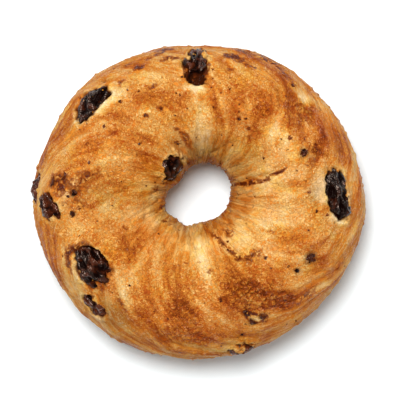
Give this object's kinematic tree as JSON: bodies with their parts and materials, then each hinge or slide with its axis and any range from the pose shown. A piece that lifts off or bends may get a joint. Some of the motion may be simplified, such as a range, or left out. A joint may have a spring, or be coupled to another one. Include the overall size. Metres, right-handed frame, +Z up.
{
  "type": "bagel",
  "caption": "Whole cinnamon and raisin bagel: an uneven ring of baked dough with an off-centre hole, a flat underside and raisins set into its crust.",
  "frame": {"origin": "on the surface that the bagel lies on, under the middle of its outline", "axes": "+Z up through the hole, +X along the longest side, as seen from above in the picture with +Y towards its top"},
  "size_m": [0.105, 0.099, 0.0366],
  "materials": {
    "crust": "baked bread crust, golden tan with toasted patches and a soft egg-shell sheen",
    "raisin_skin": "dried grape skin, nearly black, wrinkled and shiny"
  },
  "bodies": {
    "root": {"dough": "crust", "raisin_right": "raisin_skin", "raisin_upper_left": "raisin_skin", "raisin_top": "raisin_skin", "raisin_hole": "raisin_skin", "raisin_lower_left": "raisin_skin", "raisin_lower_left_small": "raisin_skin", "raisin_left_edge": "raisin_skin", "raisin_left": "raisin_skin", "raisin_bottom_rim": "raisin_skin"}
  },
  "joints": []
}
